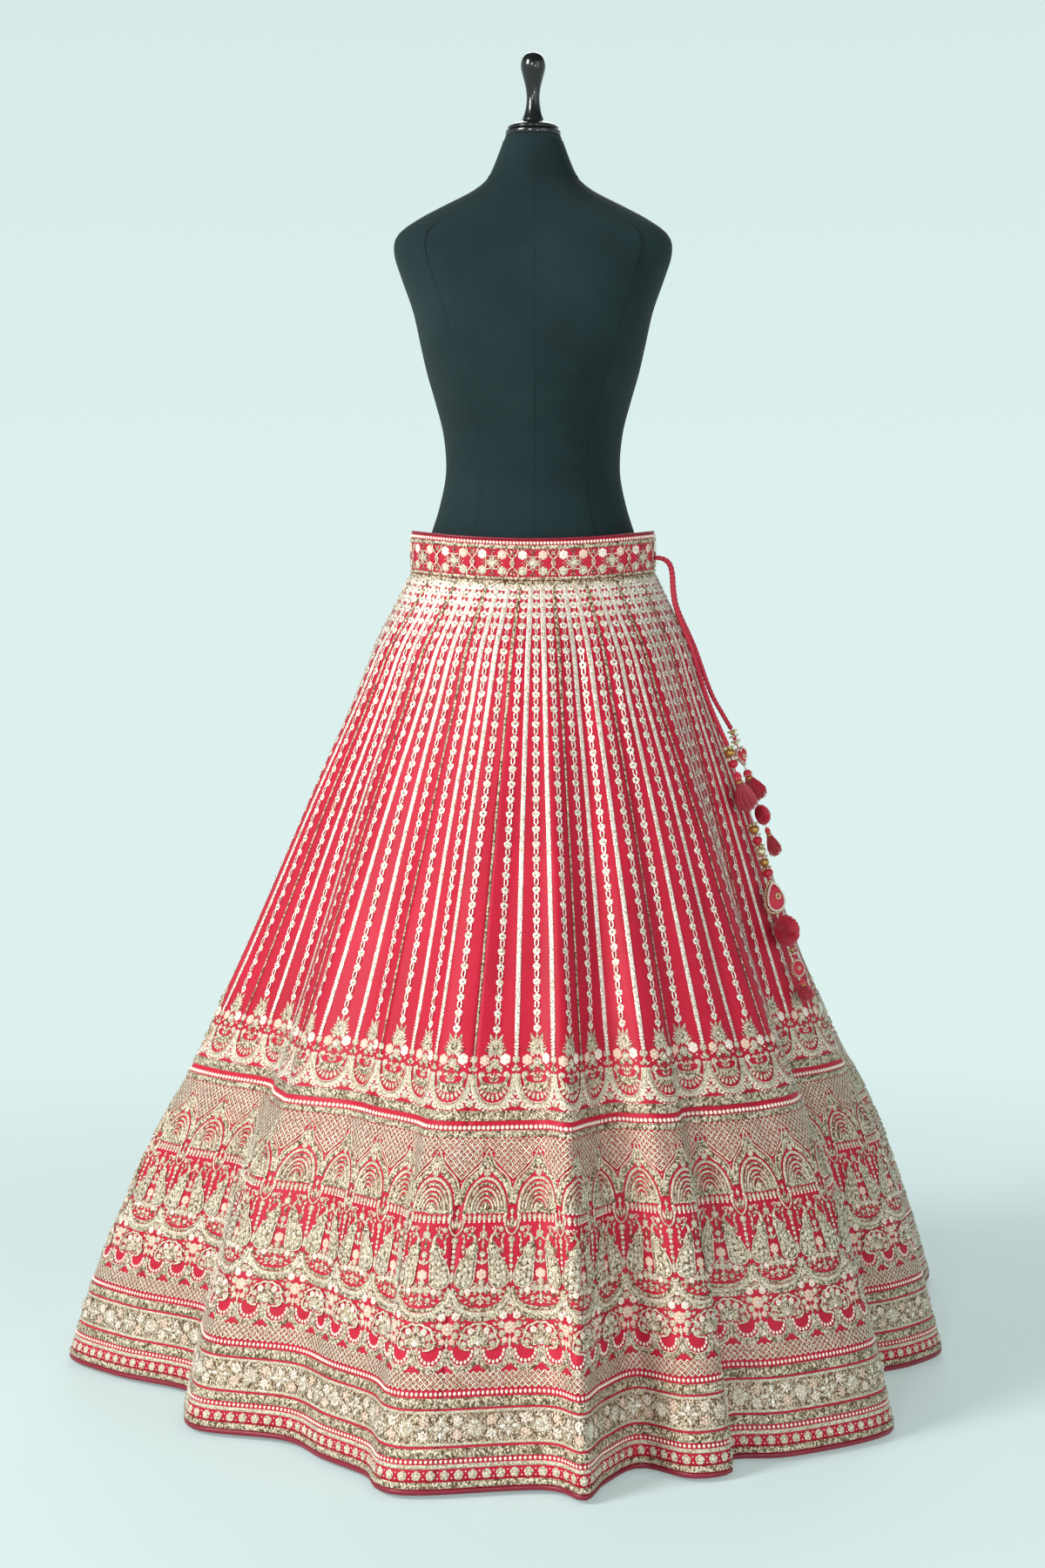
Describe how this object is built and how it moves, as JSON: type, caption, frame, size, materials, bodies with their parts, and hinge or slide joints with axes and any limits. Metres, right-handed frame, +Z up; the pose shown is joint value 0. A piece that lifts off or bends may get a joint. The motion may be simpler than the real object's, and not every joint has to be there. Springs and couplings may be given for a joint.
{
  "type": "lehenga skirt on dress form",
  "caption": "Flared crimson lehenga skirt of long kalis with gold embroidery, waistband, drawstrings and tassels, resting on a limbless dress form with a round base.",
  "frame": {"origin": "middle of the stand base's flat underside, on the floor under the form's neck", "axes": "+Z up along the pole and neck; -Y is the skirt's front; +X is to the right of someone facing the front"},
  "size_m": [1.1304, 1.223, 1.613],
  "materials": {
    "skirt_silk": "crimson raw silk with gold thread work",
    "band_zari": "gold zari, sequin flowers and pearls on crimson silk",
    "piping": "dark red piped silk",
    "dori_silk": "crimson silk cord",
    "yarn": "crimson silk yarn",
    "gold_bead": "gold and crimson beads",
    "form_jersey": "dark teal-black jersey",
    "black_gloss": "black lacquer",
    "pole_steel": "brushed",
    "base_metal": "satin black powder coat"
  },
  "bodies": {
    "root": {"kali_01": "skirt_silk", "kali_02": "skirt_silk", "kali_03": "skirt_silk", "kali_04": "skirt_silk", "kali_05": "skirt_silk", "kali_06": "skirt_silk", "kali_07": "skirt_silk", "kali_08": "skirt_silk", "kali_09": "skirt_silk", "kali_10": "skirt_silk", "kali_11": "skirt_silk", "kali_12": "skirt_silk", "kali_13": "skirt_silk", "kali_14": "skirt_silk", "kali_15": "skirt_silk", "kali_16": "skirt_silk", "kali_17": "skirt_silk", "kali_18": "skirt_silk", "kali_19": "skirt_silk", "kali_20": "skirt_silk", "waistband_front": "band_zari", "waistband_back": "band_zari", "waist_piping": "piping", "hem_piping": "piping", "dori_upper": "dori_silk", "dori_lower": "dori_silk", "pendant_heart": "yarn", "tassel_upper": "yarn", "pompom_upper": "yarn", "tassel_tip_upper": "yarn", "tassel_middle": "yarn", "pendant_paisley": "yarn", "pompom_lower": "yarn", "pendant_round": "yarn", "tassel_tip_lower": "yarn", "beads_upper": "gold_bead", "ball_lower": "gold_bead", "beads_lower": "gold_bead", "beads_end": "gold_bead", "form_body": "form_jersey", "neck_cap": "black_gloss", "finial": "black_gloss", "form_collar": "black_gloss", "stand_pole": "pole_steel", "stand_base": "base_metal"}
  },
  "joints": []
}
